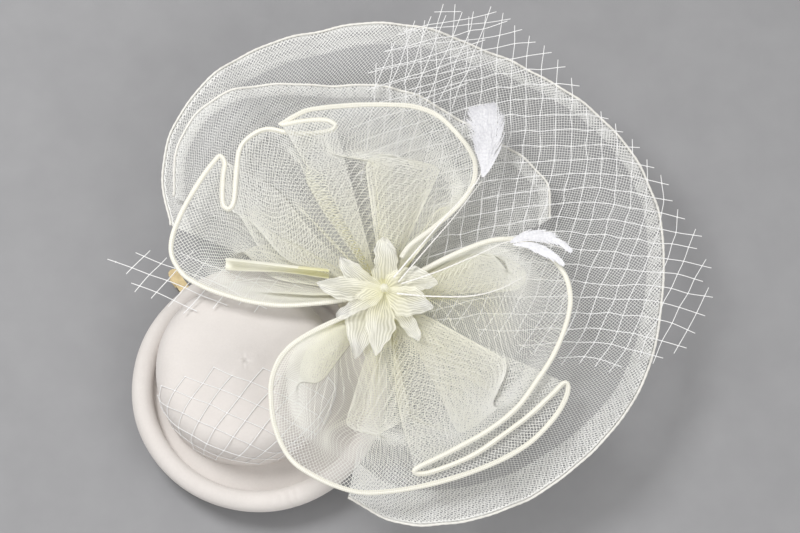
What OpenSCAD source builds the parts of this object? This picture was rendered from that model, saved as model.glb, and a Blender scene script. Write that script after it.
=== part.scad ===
// Fascinator headpiece: a small round felt hat with a rolled brim, and beside it a
// gathered fan of stiff open mesh with netting, two mesh bow loops edged with thick
// cord, a petal flower, a ribbon roll and two feathers. Two sprung clips sit under
// the brim. The brim is wider at the front and right than behind the crown.
// Origin: middle of the hat in the plane of the brim's underside, +Z up, millimetres.

/* [Hat] */
// Outer radius of the rolled brim
brim_r = 85; // [60:1:110]
// Radius of the rolled lip's own tube
lip_r = 7; // [4:0.5:10]
// Outer radius of the crown
crown_r = 60; // [45:1:80]
// Distance of the crown and the brim from the origin, left and right
crown_off = 5; // [0:0.5:5]
// Radius of the crown's rounded shoulder
shoulder_r = 16; // [8:1:24]
// Height where the straight crown wall ends
wall_h = 26; // [16:1:40]
// Thickness of the covered felt
felt_t = 2; // [1.2:0.1:3]

/* [Fan] */
// Gather centre, right of the hat centre
hub_x = 86; // [60:1:110]
// Gather centre, behind the hat centre
hub_y = 46; // [20:1:80]
// Radius of the thread-bound gather core
core_r = 6; // [4:0.5:10]
// Size of the fan compared with the standard one
fan_k = 1; // [0.7:0.05:1.2]
// Height of the fan's surface at the gather core
fan_z = 20; // [17:1:30]
// Rise of the fan from the core to its rim
fan_rise = 16; // [5:1:30]
// Number of flutes in a whole turn
flutes = 9; // [5:1:15]
// Height of a flute at the rim
flute_h = 3.5; // [0:0.5:6]
// Thickness of the stiff mesh
mesh_t = 0.8; // [0.4:0.1:1.5]
// Radius of the wire sewn in the fan's rim
rim_r = 0.8; // [0.5:0.1:1.5]

/* [Bow loops] */
// Height of the loops at the gather core
bow_z = 48; // [46:1:52]
// Rise of the loops from the core outwards
bow_rise = 8; // [2:1:10]
// Radius of the cords on the loops' edges
cord_r = 1.7; // [1:0.1:2.5]

/* [Flower] */
// Length of the longest petal
petal_len = 38; // [20:1:50]
// Width of a petal
petal_w = 12; // [8:1:20]
// Height of the feathers' vanes
vane_z = 72; // [70:1:76]

/* [Clips] */
// Length of a clip
clip_len = 48; // [36:1:60]
// Width of a clip
clip_w = 7; // [5:0.5:10]
// Clip sheet metal thickness
clip_t = 0.8; // [0.5:0.1:1.2]
// Radius of the clip's hinge pin
pin_r = 0.8; // [0.6:0.1:1.2]

/* [Hidden] */
$fn = 64;
hub = [hub_x, hub_y];
crown_at = [-crown_off, 0.7 * crown_off];
brim_at = [0.6 * crown_off, -0.7 * crown_off];
hole_r = crown_r - 5;
hub_d = norm(hub);
hub_a = atan2(hub_y, hub_x);
lip_c = brim_r - lip_r;
brim_top = 2 * lip_r;
wire_r = 0.8;
lining_gap = 0.1;
lining_t = 0.6;
lining_z = 16;
ribbon_h = 13.5;
ribbon_t = 1;
pad_t = 2;
pad_w = 40;
pad_r = 24;
core_h = 46;
thread_r = 0.5;
thread_turns = 5;

// ---- helpers ----
function unit(v) = v / max(norm(v), 1e-9);
function at(p, i) = p[min(max(i, 0), len(p) - 1)];
function back(L) = [for (i = [len(L) - 1 : -1 : 0]) L[i]];
function blend(a, b, c, d, s) =
  0.5 * (2 * b + (c - a) * s + (2 * a - 5 * b + 4 * c - d) * s * s + (3 * b - a - 3 * c + d) * s * s * s);
// a smooth curve through p with k steps between two points
function curve(p, k) = [
  for (i = [0 : len(p) - 2], s = [0 : 1 / k : 1 - 0.5 / k])
    blend(at(p, i - 1), p[i], at(p, i + 1), at(p, i + 2), s),
  p[len(p) - 1]];
// a side direction for each tangent of a path, turning as little as it can
function sides(T) = [
  for (i = 0, n = unit(cross(T[0], cross([0.1, 0.2, 1], T[0]))); i < len(T);
    i = i + 1, n = unit(n - (n * at(T, i)) * at(T, i))) n];

// a round bar swept along the points P
module tube(P, r, n = 8) {
  m = len(P);
  T = [for (i = [0 : m - 1]) unit(at(P, i + 1) - at(P, i - 1))];
  N = sides(T);
  pts = [for (i = [0 : m - 1], j = [0 : n - 1])
    P[i] + r * (cos(360 * j / n) * N[i] + sin(360 * j / n) * cross(T[i], N[i]))];
  pairs = [for (i = [0 : m - 2], j = [0 : n - 1]) [i * n + j, i * n + (j + 1) % n]];
  faces = concat(
    [for (c = pairs) [c[0], c[0] + n, c[1] + n]],
    [for (c = pairs) [c[0], c[1] + n, c[1]]],
    [[for (j = [0 : n - 1]) j]],
    [[for (j = [n - 1 : -1 : 0]) (m - 1) * n + j]]);
  polyhedron(pts, faces);
}

// a thin skin through the grid G (rows outward, columns counter-clockwise)
module skin(G, t) {
  m = len(G);
  k = len(G[0]);
  q = m * k;
  pts = concat([for (r = G, p = r) p + [0, 0, t / 2]], [for (r = G, p = r) p - [0, 0, t / 2]]);
  cells = [for (i = [0 : m - 2], j = [0 : k - 2]) i * k + j];
  faces = concat(
    [for (a = cells) each [[a, a + 1, a + k + 1], [a, a + k + 1, a + k]]],
    [for (c = cells) let (a = q + c) each [[a, a + k + 1, a + 1], [a, a + k, a + k + 1]]],
    [for (j = [0 : k - 2]) each [[j, q + j, q + j + 1], [j, q + j + 1, j + 1]]],
    [for (j = [0 : k - 2]) let (a = (m - 1) * k + j) each [[a, q + a + 1, q + a], [a, a + 1, q + a + 1]]],
    [for (i = [0 : m - 2]) let (a = i * k) each [[a, q + a + k, q + a], [a, a + k, q + a + k]]],
    [for (i = [0 : m - 2]) let (a = i * k + k - 1) each [[a, q + a, q + a + k], [a, q + a + k, a + k]]]);
  polyhedron(pts, faces);
}

// ---- surfaces, by radius r and angle a round the core ----
crest_r = 150;
rim_d = 190;
function fan_h(r, a) =
  fan_z + fan_rise * sin(90 * min(r, crest_r) / crest_r) + flute_h * (r / rim_d) * sin(flutes * a + 20);
bow_crest_r = 120;
function bow_h(r) = bow_z + bow_rise * sin(90 * min(r, bow_crest_r) / bow_crest_r);
function polar(r, a) = [hub_x + r * cos(a), hub_y + r * sin(a)];
function mix(a, b, f) = a + (b - a) * f;
// the value at fraction f of an evenly spaced list
function pick(L, f) = let (x = f * (len(L) - 1), i = min(floor(x), len(L) - 2)) mix(L[i], L[i + 1], x - i);

// the fans and the veil: first and last angle, then radii at even steps between them
fan_a = [-100, 160];
fan_R = [133, 146, 154, 158, 161, 164, 168, 173, 177, 180, 182, 187, 193, 196,
  194, 190, 190, 191, 194, 196, 197, 199, 198, 194, 187, 172, 149];
fan_curl = 5;
inner_a = [27, 153];
inner_R = [122, 135, 134, 132, 133, 137, 143, 148, 151, 158, 169, 178, 181, 173, 156];
inner_lift = 9;
inner_curl = 2;
veil_a = [-20, 100];
veil_R = [150, 200, 222, 218, 212, 207, 204, 201, 195, 200, 216, 221, 215, 200, 165, 125];
veil_lift = 16.5;
rim_gap = 0.3;
rows = [0, 0.06, 0.15, 0.3, 0.45, 0.6, 0.75, 0.88, 0.95, 1];

// a fan sector of radii L over the angles A, lifted above the fan surface and curled at the rim
function sector(L, A, steps, lift, curl) = [for (f = rows) [for (i = [0 : steps])
  let (a = mix(A[0], A[1], i / steps), R = pick(L, i / steps) * fan_k, r = mix(core_r, R, f), p = polar(r, a))
  [p[0], p[1], fan_h(r, a) + lift + curl * pow(f, 8)]]];
// the path of the wire along that sector's rim
function rim(L, A, steps, lift, curl) = [for (i = [0 : steps])
  let (a = mix(A[0], A[1], i / steps), R = pick(L, i / steps) * fan_k, p = polar(R + rim_r + rim_gap, a))
  [p[0], p[1], fan_h(R, a) + lift + curl]];

// ---- bow loops: x, y and the cord's lift above the loop's surface ----
up_right = [[97, 71, 2], [103, 79, 3], [116, 89, 3], [129, 100, 3], [139, 111, 3], [145, 122, 3],
  [146, 134, 3], [142, 145, 3], [133, 157, 3], [122, 168, 3], [109, 174, 3], [95, 176, 3],
  [68, 176, 3], [38, 173, 3], [26, 168, 3]];
up_loop = [[19, 163.5, 2.8], [17, 162.5, 3], [20, 162.5, 3], [32, 165, 2.4], [46, 166, 1.6],
  [53, 163, 0.8], [50, 159, 0.2], [36, 157, 0], [22, 157.5, 0]];
up_mid = [[8, 160, 0], [-3, 155, 0], [-10, 146, 0], [-12, 130, 0], [-13, 112, 0]];
up_pleat = [[-15, 105, 0], [-18, 104, 0], [-21, 109, 0], [-21, 126, 0], [-20, 136, 0],
  [-23, 141, 0], [-27, 137, 0]];
up_left = [[-34, 127, 0], [-43, 111, 0], [-49, 98, 0], [-53, 86, 0], [-54, 75, 0], [-51, 66, 0],
  [-44, 57, 0], [-32, 50, 0], [-19, 45, 0], [-5, 41, 0], [7, 39, 0], [20, 38, 0], [34, 39, 0],
  [50, 41, 0], [65, 44, 0]];
low_left = [[62, 32, 0], [46, 24, 0], [34, 17, 0], [24, 9, 0], [17, -1, 0], [13, -14, 0],
  [13, -28, 0], [15, -42, 0], [20, -56, 0], [28, -68, 0], [41, -77, 0], [56, -84, 0],
  [72, -88, 0], [92, -87, 0], [114, -83, 0], [138, -76, 0], [162, -66, 0], [181, -54, 0],
  [196, -38, 0]];
low_turn = [[203, -26, -0.5], [205, -18, 1], [202, -16, 2.4]];
low_mid = [[194, -24, 2.6], [179, -38, 2.6], [162, -51, 2.6], [145, -63, 2.6], [128, -71, 2.6],
  [113, -76, 2.8]];
low_fold = [[106, -76, 4.4], [108, -73, 6.4]];
low_inner = [[128, -63, 6.6], [154, -48, 6.6], [172, -33, 6.6], [185, -15, 6.6], [194, -1, 6.2]];
low_right = [[201, 14, 6], [206, 30, 6], [207, 43, 6], [204, 56, 6], [196, 67, 6], [184, 77, 6],
  [170, 81, 6], [155, 80, 6], [138, 74, 6], [120, 66, 5], [102, 57, 3]];
up_path = concat(up_right, up_loop, up_mid, up_pleat, up_left);
low_path = concat(low_left, low_turn, low_mid, low_fold, low_inner, low_right);
// the loops' outlines leave the cords' pleats out
up_edge = concat(up_right, [[20, 163], [8, 160], [-4, 155], [-14, 147], [-25, 139]], up_left);
low_edge = concat(low_left, [[203, -26], [205, -16], [203, -4]], low_right);
cord_gap = 0.1;

function flat(L) = [for (p = L) [p[0], p[1]]];
// a cord's path: its underside rests just above the loop's mesh
function on_bow(L) = [for (p = L)
  [p[0], p[1], bow_h(norm([p[0], p[1]] - hub)) + p[2] + mesh_t + cord_r + cord_gap]];
// a loop's skin, ruled from the core between the angles a0 and a1 out to its edge
function loop_skin(E, a0, a1) = let (c = curve(flat(E), 2), n = len(c))
  [for (f = [0, 0.1, 0.25, 0.45, 0.65, 0.85, 1]) [for (j = [0 : n - 1])
    let (h = polar(core_r, mix(a0, a1, j / (n - 1))), p = mix(h, c[j], f))
    [p[0], p[1], bow_h(norm(p - hub))]]];

// ---- hat ----
// the crown's profile from the foot of its wall to its top, set in by d
dome_a = 80;
function crown_line(d) = let (cx = crown_r - shoulder_r, R = shoulder_r + cx / cos(dome_a)) concat(
  [[crown_r - d, felt_t], [crown_r - d, wall_h]],
  [for (a = [10 : 10 : dome_a]) [cx + (shoulder_r - d) * cos(a), wall_h + (shoulder_r - d) * sin(a)]],
  [for (a = [dome_a + 2 : 2 : 90]) [max((R - d) * cos(a), 0), wall_h - cx * tan(dome_a) + (R - d) * sin(a)]]);

// the skin between two such profiles, above height z and outside radius r
module crown_shell(outer, inner, z = 0, r = 0) rotate_extrude() intersection() {
  polygon(concat(crown_line(outer), back(crown_line(inner))));
  translate([r, z]) square([crown_r + 2, 60]);
}

module hat_crown() color("#dccfca") translate(crown_at) crown_shell(0, felt_t);

// the hole goes round with the crown, the lip round its own middle
module hat_brim() color("#d8cbc6") difference() {
  translate(brim_at) rotate_extrude() difference() {
    union() {
      translate([hole_r - 2 * crown_off - 1, 0]) square([lip_c - hole_r + 2 * crown_off + 1, felt_t]);
      translate([lip_c, lip_r]) circle(lip_r);
    }
    translate([lip_c, lip_r]) circle(lip_r - felt_t);
  }
  translate([crown_at[0], crown_at[1], -1]) cylinder(h = felt_t + 2, r = hole_r);
}

// the wire lies in the lip's hollow, against its upper outer wall
wire_d = (lip_r - felt_t - wire_r - 0.1) * cos(45);
module brim_wire() color("#9a9a98") translate(brim_at) rotate_extrude()
  translate([lip_c + wire_d, lip_r + wire_d]) circle(wire_r);

module crown_lining() color("#efe9e2") translate(crown_at)
  crown_shell(felt_t + lining_gap, felt_t + lining_gap + lining_t, z = lining_z);

module inner_ribbon() color("#e9e2da") translate([crown_at[0], crown_at[1], felt_t]) difference() {
  cylinder(h = ribbon_h, r = crown_r - felt_t - lining_gap);
  translate([0, 0, -1]) cylinder(h = ribbon_h + 2, r = crown_r - felt_t - lining_gap - ribbon_t);
}

// ---- support under the gathers ----
module base_pad() color("#e4ddd0") translate([0, 0, brim_top]) union() {
  rotate([0, 0, hub_a]) translate([lip_c - 6, -pad_w / 2, 0]) cube([hub_d - lip_c + 6, pad_w, pad_t]);
  translate([hub_x, hub_y, 0]) cylinder(h = pad_t, r = pad_r);
}

module gather_core() color("#d9d6c0")
  translate([hub_x, hub_y, brim_top + pad_t]) cylinder(h = core_h, r = core_r);

// the thread is wound just above the fan, in turns side by side
thread_z = fan_z + 2.8;
thread_pitch = 1.3;
module thread_binding() color("#e8e4d2") for (i = [0 : thread_turns - 1])
  translate([hub_x, hub_y, thread_z + i * thread_pitch])
    rotate_extrude() translate([core_r + thread_r, 0]) circle(thread_r, $fn = 24);

// ---- gathered meshes ----
fan_steps = 52;
inner_steps = 28;
veil_steps = 30;
module fan_mesh() color("#c9d0cc") skin(sector(fan_R, fan_a, fan_steps, 0, fan_curl), mesh_t);
module fan_rim_wire() color("#e6e2cf") tube(rim(fan_R, fan_a, fan_steps, 0, fan_curl), rim_r);
module inner_fan_mesh() color("#d3d9d3")
  skin(sector(inner_R, inner_a, inner_steps, inner_lift, inner_curl), mesh_t);
module inner_fan_edge() color("#e6e2cf")
  tube(rim(inner_R, inner_a, inner_steps, inner_lift, inner_curl), rim_r);
module veil_net() color("#eef0ee") skin(sector(veil_R, veil_a, veil_steps, veil_lift, 0), mesh_t);

module upper_bow_mesh() color("#e0e2cc") skin(loop_skin(up_edge, 66, 188), mesh_t);
module upper_bow_cord() color("#ebe6d2") tube(curve(on_bow(up_path), 2), cord_r);
module lower_bow_mesh() color("#e0e2cc") skin(loop_skin(low_edge, -152, 42), mesh_t);
module lower_bow_cord() color("#ebe6d2") tube(curve(on_bow(low_path), 2), cord_r);

// ---- netting on the hat ----
net_gap = 0.3;
net_t = 0.6;
net_hole_r = 8;
module crown_net() color("#eef0ee") translate(crown_at) rotate([0, 0, 190])
  rotate_extrude(angle = 165) intersection() {
  polygon(concat(crown_line(-net_gap - net_t), back(crown_line(-net_gap))));
  translate([net_hole_r, felt_t]) square([crown_r, 60]);
}

// a tab of netting from the core over the crown's edge and past the brim
side_edge = [[-60, 80], [-93, 80], [-93, 72], [-87, 62], [-84, 50], [-80, 34]];
side_z = 46;
side_fall = 3;
module side_net() color("#eef0ee") skin([for (f = [0, 0.15, 0.35, 0.55, 0.75, 0.9, 1])
  [for (j = [0 : len(side_edge) - 1])
    let (p = mix(polar(core_r, 164 + 4 * j), side_edge[j], f))
    [p[0], p[1], side_z - side_fall * f * f]]], mesh_t);

// ---- ribbon roll and flower ----
roll_a = [50, 58, 61.5];
roll_b = [-18, 61, 63.5];
roll_r = 4.6;
roll_t = 0.8;
// the roll stays open toward the front, as a C
roll_wrap = 260;
module ribbon_roll() color("#e9e6d6") {
  d = roll_b - roll_a;
  translate(roll_a) rotate([0, acos(d[2] / norm(d)), atan2(d[1], d[0])]) rotate([0, 0, 180])
    rotate_extrude(angle = roll_wrap) translate([roll_r - roll_t, 0]) square([roll_t, norm(d)]);
}

flower_r = 5;
flower_z = 70;
module flower_core() color("#f0eadd") translate([hub_x, hub_y, flower_z]) intersection() {
  sphere(r = flower_r);
  translate([-flower_r, -flower_r, -2]) cube(2 * flower_r);
}

// each petal's direction, size and height, in three layers
petal_turn = [78, 305, 236, 20, 251, 150, 335, 182, 222];
petal_size = [0.8, 0.9, 1.1, 0.75, 1, 0.8, 0.75, 1, 0.8];
petal_low = [58.6, 58.6, 58.6, 62.2, 62.2, 62.2, 65.6, 65.6, 65.6];
petal_t = 0.6;
petal_lift = 2.2;
petal_cup = 0.35;
function petal_y(f) = f >= 1 ? 0.5 : mix(0.5, petal_w / 2, pow(sin(180 * pow(f, 0.8)), 0.9));
// a pointed leaf, cupped and lifted towards its tip
module petal(i) translate([hub_x, hub_y, petal_low[i]]) rotate([0, 0, petal_turn[i]])
  skin([for (f = [0, 0.12, 0.25, 0.4, 0.55, 0.7, 0.85, 1]) [for (j = [-2 : 2])
    [core_r + petal_len * petal_size[i] * f, petal_y(f) * j / 2,
      petal_lift * sin(150 * f) + petal_cup * abs(j)]]], petal_t);
module petal_1() color("#f2ecdf") petal(0);
module petal_2() color("#f2ecdf") petal(1);
module petal_3() color("#f2ecdf") petal(2);
module petal_4() color("#f2ecdf") petal(3);
module petal_5() color("#f2ecdf") petal(4);
module petal_6() color("#f2ecdf") petal(5);
module petal_7() color("#f2ecdf") petal(6);
module petal_8() color("#f2ecdf") petal(7);
module petal_9() color("#f2ecdf") petal(8);

// ---- feathers ----
vane_t = 0.6;
upper_vane = [[149, 120], [146, 138], [142, 152], [139, 165], [143, 170], [152, 174], [155, 168],
  [157, 170], [161, 167], [165, 158], [165, 150], [160, 136], [153, 124]];
lower_vane = [[167, 76], [175, 81], [187, 83], [197, 80], [206, 74], [209, 68], [198, 72],
  [190, 74], [197, 67], [203, 59], [190, 65], [178, 71]];
module vane(outline) translate([0, 0, vane_z]) linear_extrude(vane_t) polygon(outline);
module upper_feather_vane() color("#e9e9f4") vane(upper_vane);
module lower_feather_vane() color("#e9e9f4") vane(lower_vane);

// quills: x, y and depth under the vanes
quill_1 = [[92, 53, 3.7], [108, 73, 3.5], [128, 97, 2.5], [148, 121, 0.8], [150, 140, 0.8], [151, 166, 0.8]];
quill_2 = [[95, 50, 3.7], [112, 71, 3.4], [132, 95, 2.4], [150, 119, 0.8]];
quill_3 = [[94, 42, 2.4], [116, 40, 2.2], [142, 40, 1.6], [162, 45, 0.8], [180, 55, 0.8]];
quill_4 = [[97, 49, 3.7], [120, 57, 3.4], [144, 67, 2], [167, 77, 0.8], [186, 77, 0.8], [203, 72, 0.8]];
module quill(Q, r) tube(curve([for (p = Q) [p[0], p[1], vane_z - p[2]]], 4), r);
module feather_quill_1() color("#f4f2ea") quill(quill_1, 0.6);
module feather_quill_2() color("#f4f2ea") quill(quill_2, 0.5);
module feather_quill_3() color("#f4f2ea") quill(quill_3, 0.6);
module feather_quill_4() color("#f4f2ea") quill(quill_4, 0.5);

// ---- clips: local x runs outward from the jaw's tip, z = 0 is the brim's underside ----
clip_in = 52;
clip_a_turn = 126;
clip_b_turn = 36;
hinge_x = 32;
hinge_z = -5.2;
jaw_ear_r = 3;
lever_ear_r = 2.4;
ear_t = 0.6;
felt_gap = 1.1;
felt_w = clip_w + 5;
felt_x = 9;
felt_l = 13;
finger_x = 38;
finger_z = -11.3;
module place_clip(a) rotate([0, 0, a]) translate([clip_in, 0, 0]) children();
module side_cut(y, t) translate([0, y + t, 0]) rotate([90, 0, 0]) linear_extrude(t) children();

module clip_felt() translate([felt_x, -felt_w / 2, -felt_gap]) cube([felt_l, felt_w, felt_gap]);

// a clip seen from above, with its round finger end
module clip_outline() {
  translate([0, -clip_w / 2]) square([clip_len - clip_w / 2, clip_w]);
  translate([clip_len - clip_w / 2, 0]) circle(clip_w / 2);
}

module clip_jaw() {
  translate([0, 0, -felt_gap - clip_t]) linear_extrude(clip_t) clip_outline();
  for (y = [-clip_w / 2, clip_w / 2 - ear_t]) side_cut(y, ear_t) difference() {
    union() {
      translate([hinge_x - jaw_ear_r, hinge_z]) square([2 * jaw_ear_r, -felt_gap - clip_t / 2 - hinge_z]);
      translate([hinge_x, hinge_z]) circle(jaw_ear_r);
    }
    translate([hinge_x, hinge_z]) circle(pin_r);
  }
}

module clip_pin() side_cut(-clip_w / 2 - 0.4, clip_w + 0.8) translate([hinge_x, hinge_z]) circle(pin_r);

// spring: four coils round the pin, and a leg under each finger plate
coil_r = 1.25;
coil_y = 1.5;
coil_wire_r = 0.25;
coil_steps = 40;
module clip_spring() tube(concat(
  [[42, -coil_y, -2.35], [37, -coil_y, -3.1]],
  [for (i = [0 : coil_steps]) let (a = 78 + 36 * i)
    [hinge_x + coil_r * cos(a), coil_y * (2 * i / coil_steps - 1), hinge_z + coil_r * sin(a)]],
  [[37, coil_y, -7.5], [42, coil_y, -8.95]]), coil_wire_r, 6);

// the lever's strip from jaw tip to finger end, its wide finger plate and its two ears
module clip_lever() {
  w = clip_w / 2 - ear_t - 0.12;
  slope = (finger_z + 8.4) / (clip_len - hinge_x);
  plate_z = finger_z - slope * (clip_len - finger_x);
  intersection() {
    union() {
      side_cut(-w, 2 * w) polygon([[0, -2.2], [6, -2.6], [hinge_x, -8.4], [clip_len, finger_z],
        [clip_len, finger_z - clip_t], [hinge_x, -8.4 - clip_t], [6, -2.6 - clip_t], [0, -2.2 - clip_t]]);
      side_cut(-clip_w / 2, clip_w) polygon([[finger_x, plate_z], [clip_len, finger_z],
        [clip_len, finger_z - clip_t], [finger_x, plate_z - clip_t]]);
    }
    translate([0, 0, finger_z - 2]) linear_extrude(-finger_z) clip_outline();
  }
  for (y = [-w, w - ear_t]) side_cut(y, ear_t) difference() {
    union() {
      polygon([[hinge_x - lever_ear_r, hinge_z], [hinge_x + lever_ear_r, hinge_z],
        [hinge_x + lever_ear_r, -9.2], [hinge_x - lever_ear_r, -8.3]]);
      translate([hinge_x, hinge_z]) circle(lever_ear_r);
    }
    translate([hinge_x, hinge_z]) circle(pin_r + 0.05);
  }
}

module clip_a_felt() color("#e4ddd6") place_clip(clip_a_turn) clip_felt();
module clip_a_jaw() color("#c9a468") place_clip(clip_a_turn) clip_jaw();
module clip_a_pin() color("#b08d55") place_clip(clip_a_turn) clip_pin();
module clip_a_spring() color("#b9b6ae") place_clip(clip_a_turn) clip_spring();
module clip_a_lever() color("#c9a468") place_clip(clip_a_turn) clip_lever();
module clip_b_felt() color("#e4ddd6") place_clip(clip_b_turn) clip_felt();
module clip_b_jaw() color("#c9a468") place_clip(clip_b_turn) clip_jaw();
module clip_b_pin() color("#b08d55") place_clip(clip_b_turn) clip_pin();
module clip_b_spring() color("#b9b6ae") place_clip(clip_b_turn) clip_spring();
module clip_b_lever() color("#c9a468") place_clip(clip_b_turn) clip_lever();

hat_crown();
hat_brim();
brim_wire();
crown_lining();
inner_ribbon();
base_pad();
gather_core();
thread_binding();
fan_mesh();
fan_rim_wire();
inner_fan_mesh();
inner_fan_edge();
upper_bow_mesh();
upper_bow_cord();
lower_bow_mesh();
lower_bow_cord();
veil_net();
crown_net();
side_net();
ribbon_roll();
flower_core();
petal_1();
petal_2();
petal_3();
petal_4();
petal_5();
petal_6();
petal_7();
petal_8();
petal_9();
upper_feather_vane();
lower_feather_vane();
feather_quill_1();
feather_quill_2();
feather_quill_3();
feather_quill_4();
clip_a_felt();
clip_a_jaw();
clip_a_pin();
clip_a_spring();
clip_a_lever();
clip_b_felt();
clip_b_jaw();
clip_b_pin();
clip_b_spring();
clip_b_lever();
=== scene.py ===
import math
import random

import bpy
import numpy as np
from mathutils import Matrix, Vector


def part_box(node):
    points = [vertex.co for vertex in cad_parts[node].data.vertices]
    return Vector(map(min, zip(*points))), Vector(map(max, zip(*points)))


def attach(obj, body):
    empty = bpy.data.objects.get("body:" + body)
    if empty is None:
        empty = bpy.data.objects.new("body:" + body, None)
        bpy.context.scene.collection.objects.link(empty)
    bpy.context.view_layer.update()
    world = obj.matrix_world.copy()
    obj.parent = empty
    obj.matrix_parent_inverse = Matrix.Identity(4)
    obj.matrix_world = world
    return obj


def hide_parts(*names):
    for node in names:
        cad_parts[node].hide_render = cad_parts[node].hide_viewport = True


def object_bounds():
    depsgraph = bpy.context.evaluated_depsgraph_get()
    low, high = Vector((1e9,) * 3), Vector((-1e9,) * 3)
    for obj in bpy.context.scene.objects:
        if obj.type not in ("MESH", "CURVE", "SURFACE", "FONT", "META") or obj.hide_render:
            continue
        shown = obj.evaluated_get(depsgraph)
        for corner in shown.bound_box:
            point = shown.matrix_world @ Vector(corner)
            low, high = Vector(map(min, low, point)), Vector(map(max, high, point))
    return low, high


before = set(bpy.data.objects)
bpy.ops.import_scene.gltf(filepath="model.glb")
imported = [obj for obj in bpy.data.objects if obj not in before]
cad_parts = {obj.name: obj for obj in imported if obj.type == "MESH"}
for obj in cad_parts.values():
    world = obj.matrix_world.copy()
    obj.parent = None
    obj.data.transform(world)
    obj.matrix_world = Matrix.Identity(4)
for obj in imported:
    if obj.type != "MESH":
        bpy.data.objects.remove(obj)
cad_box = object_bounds()

# ---------------------------------------------------------------- places and sizes, in metres
MM = 0.001
BODY = "headpiece"
core_low, core_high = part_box("gather_core")
brim_low, brim_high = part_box("hat_brim")
crown_low, crown_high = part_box("hat_crown")
pad_low, pad_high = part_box("base_pad")
hub = np.array([core_low.x + core_high.x, core_low.y + core_high.y]) / 2
core_r = (core_high.x - core_low.x) / 2
crown_at = np.array([crown_low.x + crown_high.x, crown_low.y + crown_high.y]) / 2
brim_at = np.array([brim_low.x + brim_high.x, brim_low.y + brim_high.y]) / 2
crown_r = (crown_high.x - crown_low.x) / 2
brim_r = (brim_high.x - brim_low.x) / 2
lip_r = brim_high.z / 2
lip_c = brim_r - lip_r
hole_r = crown_r - 5 * MM
shoulder_r = 16 * MM
wall_h = 26 * MM
felt_t = 2 * MM
dome_a = math.radians(80)
shoulder_c = crown_r - shoulder_r
dome_R = shoulder_r + shoulder_c / math.cos(dome_a)
fan_z = 20 * MM
fan_rise = 16 * MM
fan_crest = 150 * MM
flutes = 9
flute_h = 3.5 * MM
flute_r = 190 * MM
bow_z = 48 * MM
bow_rise = 8 * MM
bow_crest = 120 * MM
mesh_t = 0.8 * MM
cord_r = 1.7 * MM
rim_r = 0.8 * MM
bind_z = 26 * MM
fan_bind_z = 22.5 * MM
inner_bind_z = 24.5 * MM
bow_bind_z = 34 * MM

# sectors of the fans and the veil: first and last angle in degrees, and radii in millimetres
fan_a = (-100, 160)
fan_R = (133, 146, 154, 158, 161, 164, 168, 173, 177, 180, 182, 187, 193, 196,
         194, 190, 190, 191, 194, 196, 197, 199, 198, 194, 187, 172, 149)
fan_curl = 5 * MM
fan_hem = (26, 24, 20, 14, 11, 8, 9, 13, 16, 16, 15)
inner_a = (27, 153)
inner_R = (122, 135, 134, 132, 133, 137, 143, 148, 151, 158, 169, 178, 181, 173, 156)
inner_hem = (8, 8)
inner_lift = 9 * MM
inner_curl = 2 * MM
veil_a = (-20, 100)
veil_R = (150, 200, 222, 218, 212, 207, 204, 201, 195, 200, 216, 221, 215, 200, 165, 125)
veil_lift = 16.5 * MM

# the cords sewn on the bow loops: x, y and lift above the loop, in millimetres
up_right = ((97, 71, 2), (103, 79, 3), (116, 89, 3), (129, 100, 3), (139, 111, 3), (145, 122, 3),
            (146, 134, 3), (142, 145, 3), (133, 157, 3), (122, 168, 3), (109, 174, 3), (95, 176, 3),
            (68, 176, 3), (38, 173, 3), (26, 168, 3))
up_loop = ((19, 163.5, 2.8), (17, 162.5, 3), (20, 162.5, 3), (32, 165, 2.4), (46, 166, 1.6),
           (53, 163, 0.8), (50, 159, 0.2), (36, 157, 0), (22, 157.5, 0))
up_mid = ((8, 160, 0), (-3, 155, 0), (-10, 146, 0), (-12, 130, 0), (-13, 112, 0))
up_pleat = ((-15, 105, 0), (-18, 104, 0), (-21, 109, 0), (-21, 126, 0), (-20, 136, 0),
            (-23, 141, 0), (-27, 137, 0))
up_left = ((-34, 127, 0), (-43, 111, 0), (-49, 98, 0), (-53, 86, 0), (-54, 75, 0), (-51, 66, 0),
           (-44, 57, 0), (-32, 50, 0), (-19, 45, 0), (-5, 41, 0), (7, 39, 0), (20, 38, 0), (34, 39, 0),
           (50, 41, 0), (65, 44, 0))
low_left = ((62, 32, 0), (46, 24, 0), (34, 17, 0), (24, 9, 0), (17, -1, 0), (13, -14, 0),
            (13, -28, 0), (15, -42, 0), (20, -56, 0), (28, -68, 0), (41, -77, 0), (56, -84, 0),
            (72, -88, 0), (92, -87, 0), (114, -83, 0), (138, -76, 0), (162, -66, 0), (181, -54, 0),
            (196, -38, 0))
low_turn = ((203, -26, -0.5), (205, -18, 1), (202, -16, 2.4))
low_mid = ((194, -24, 2.6), (179, -38, 2.6), (162, -51, 2.6), (145, -63, 2.6), (128, -71, 2.6),
           (113, -76, 2.8))
low_fold = ((106, -76, 4.4), (108, -73, 6.4))
low_inner = ((128, -63, 6.6), (154, -48, 6.6), (172, -33, 6.6), (185, -15, 6.6), (194, -1, 6.2))
low_right = ((201, 14, 6), (206, 30, 6), (207, 43, 6), (204, 56, 6), (196, 67, 6), (184, 77, 6),
             (170, 81, 6), (155, 80, 6), (138, 74, 6), (120, 66, 5), (102, 57, 3))
up_path = up_right + up_loop + up_mid + up_pleat + up_left
low_path = low_left + low_turn + low_mid + low_fold + low_inner + low_right
up_turn = (66, 188)
low_turn_angles = (-152, 42)
cord_gap = 0.1 * MM

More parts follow.
